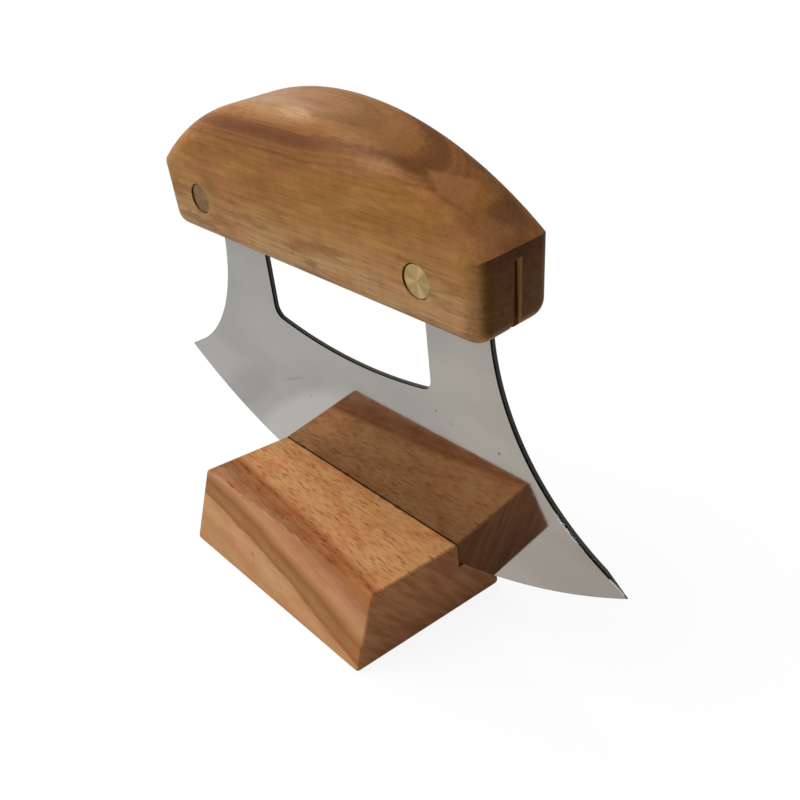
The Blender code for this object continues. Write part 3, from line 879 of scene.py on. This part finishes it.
# painted sheen: what looks up is a little lighter and greyer
wood = tinted(tree, facing_up, wood, (1.04, 1.07, 1.08))
far_end = spot(tree, where, (-30, -18, 22), (15, 16, 8), 0.2)
wood = tinted(tree, far_end, wood, (0.93, 0.97, 1.03))
near_foot = spot(tree, where, (30, -25.5, 3), (15, 4, 6), 0.2)
wood = tinted(tree, near_foot, wood, (0.96, 0.90, 0.80))
mottled = fitted(tree, facing_up, 0, 1, 0.45, 1.0)
redder = reckon(tree, "MULTIPLY", fitted(tree, patches, 0.48, 0.66), mottled)
wood = tinted(tree, redder, wood, (0.92, 0.80, 0.72))
sheen_and_pale_patch = reckon(tree, "MULTIPLY", fitted(tree, patches, 0.36, 0.50, 1.0, 0.0), mottled)
wood = tinted(tree, sheen_and_pale_patch, wood, (1.05, 1.12, 1.10))
pinker = fitted(tree, clouds, 0.50, 0.72, 0.0, 0.8)
wood = tinted(tree, pinker, wood, (1.08, 0.97, 1.00))
streaked = reckon(tree, "MULTIPLY", fitted(tree, fibres, 0.42, 0.66, 0.0, 0.55), mottled)
wood = tinted(tree, streaked, wood, (0.70, 0.57, 0.46))

# cut pores, on the top alone, and a few bruises on the front
pores = reckon(tree, "MULTIPLY", pores, fitted(tree, facing_up, 0, 1, 0.08, 1.0))
deep = noise(tree, stretched(tree, with_fibres, 0.12, 0.4, 0.4), 1.0, 2.0)
deep = reckon(tree, "MULTIPLY", pores, fitted(tree, deep, 0.35, 0.65, 0.35, 0.90))
wood = tinted(tree, deep, wood, (0.51, 0.37, 0.25))
marks = [((0.3, -23.0, 12.4), (0.8, 3, 0.6), 0.5), ((-10.5, -24.0, 8.7), (1.3, 3, 1.0), 0.4)]
marks += [((-9.4, -24.8, 5.8), (0.7, 3, 3.2), 0.25), ((-35.5, -21.9, 16.8), (1.3, 3, 0.6), 0.4)]
for centre, radii, strength in marks:
    mark = reckon(tree, "MULTIPLY", spot(tree, where, centre, radii, 0.0), strength)
    wood = blended(tree, mark, wood, seen_colour(104, 66, 36))

# the sawn ends, with the years of growth as slanting lines
across_fibres = end_grain(tree)
slanting = place_in_mm(tree, (0, 0, 0), (math.radians(-47), 0, 0))
years = noise(tree, stretched(tree, slanting, 0.05, 0.07, 0.55), 1.0, 4.0, 0.55)
end_tone = fitted(tree, years, 0.36, 0.64)
end_tone = blended(tree, end_tone, seen_colour(150, 98, 60), seen_colour(180, 124, 84))
reddish = fitted(tree, noise(tree, where, 0.12, 2.0), 0.45, 0.62, 0.0, 0.7)
end_tone = tinted(tree, reddish, end_tone, (1.0, 0.90, 1.0))
cut_fibres = fitted(tree, noise(tree, where, 2.6, 2.0), 0.62, 0.72, 0.0, 0.5)
end_tone = blended(tree, cut_fibres, end_tone, seen_colour(198, 150, 108))
wood = blended(tree, reckon(tree, "MULTIPLY", across_fibres, 0.9), wood, end_tone)
tree.links.new(wood, shader.inputs["Base Color"])
tree.links.new(fitted(tree, fibres, 0.2, 0.8, 0.48, 0.64), shader.inputs["Roughness"])
shader.inputs["Specular IOR Level"].default_value = 0.06
height = reckon(tree, "MULTIPLY", fibres, 0.4)
height = reckon(tree, "SUBTRACT", height, reckon(tree, "MULTIPLY", pores, 0.5))
add_relief(tree, shader, height, strength=0.35, distance=0.00015)
stand.data.materials.append(stand_wood)
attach(stand, "stand")
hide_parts("stand")


# Floor and light: a wide pale sheet, which shows the camera hardly any shadow and the steel an even
# grey, under one big soft light from the front and left, which the steel doesn't mirror. A low bright
# window is behind on the left, and the room is dim on the right, so the end faces stay dark.

FLOOR_REACH = 30.0
SHADOW_HIDDEN = 0.9  # share of the sheet's shadow that the camera isn't shown
LIGHT_FROM = (-0.58, -0.44, 0.69)
LIGHT_STRENGTH = 4.3
LIGHT_WIDTH = math.radians(80)
WINDOW_FROM = (-0.86, 0.49, 0.12)

sheet = bmesh.new()
bmesh.ops.create_grid(sheet, x_segments=1, y_segments=1, size=FLOOR_REACH)
floor = piece_from("floor", sheet)
paper, tree, shader = new_material("paper")
path = add_node(tree, "ShaderNodeLightPath").outputs
white = blended(tree, path["Is Camera Ray"], (0.70, 0.70, 0.69, 1), (0.97, 0.97, 0.97, 1))
tree.links.new(white, shader.inputs["Base Color"])
shader.inputs["Roughness"].default_value = 0.9
shader.inputs["Specular IOR Level"].default_value = 0.0
glow = blended(tree, path["Is Camera Ray"], (0.82, 0.82, 0.81, 1), (1, 1, 1, 1))
even = add_node(tree, "ShaderNodeEmission", {"Color": glow}).outputs[0]
to_camera = reckon(tree, "MULTIPLY", path["Is Camera Ray"], SHADOW_HIDDEN)
evenly = reckon(tree, "MAXIMUM", path["Is Glossy Ray"], to_camera)
inputs = {0: evenly, 1: shader.outputs[0], 2: even}
mirrored = add_node(tree, "ShaderNodeMixShader", inputs).outputs[0]
tree.links.new(mirrored, tree.nodes["Material Output"].inputs["Surface"])
floor.data.materials.append(paper)

softbox = bpy.data.lights.new("softbox", "SUN")
softbox.energy = LIGHT_STRENGTH
softbox.angle = LIGHT_WIDTH
softbox_object = bpy.data.objects.new("softbox", softbox)
bpy.context.scene.collection.objects.link(softbox_object)
softbox_object.rotation_euler = Vector(LIGHT_FROM).to_track_quat("Z", "Y").to_euler()
softbox_object.visible_glossy = False

room = bpy.data.worlds.new("room")
bpy.context.scene.world = room
room.use_nodes = True
tree = room.node_tree
seen = tree.nodes["Background"]
seen.inputs["Color"].default_value = (1, 1, 1, 1)
seen.inputs["Strength"].default_value = 1.0
towards = add_node(tree, "ShaderNodeTexCoord").outputs["Generated"]
inputs = {0: towards, 1: Vector(WINDOW_FROM).normalized()}
near_window = add_node(tree, "ShaderNodeVectorMath", inputs, operation="DOT_PRODUCT").outputs["Value"]
strength = fitted(tree, near_window, 0.86, 0.98, 0.17, 1.2)
path = add_node(tree, "ShaderNodeLightPath").outputs
near_floor = fitted(tree, each_way(tree, towards)[2], 0.0, 0.75, 0.65, 0.0)
strength = reckon(tree, "ADD", strength, reckon(tree, "MULTIPLY", near_floor, path["Is Glossy Ray"]))
unseen = add_node(tree, "ShaderNodeBackground", {"Color": (1.0, 0.98, 0.95, 1), "Strength": strength})
inputs = {0: path["Is Camera Ray"], 1: unseen.outputs[0], 2: seen.outputs[0]}
either = add_node(tree, "ShaderNodeMixShader", inputs)
tree.links.new(either.outputs[0], tree.nodes["World Output"].inputs["Surface"])
bpy.context.scene.view_settings.view_transform = "Standard"
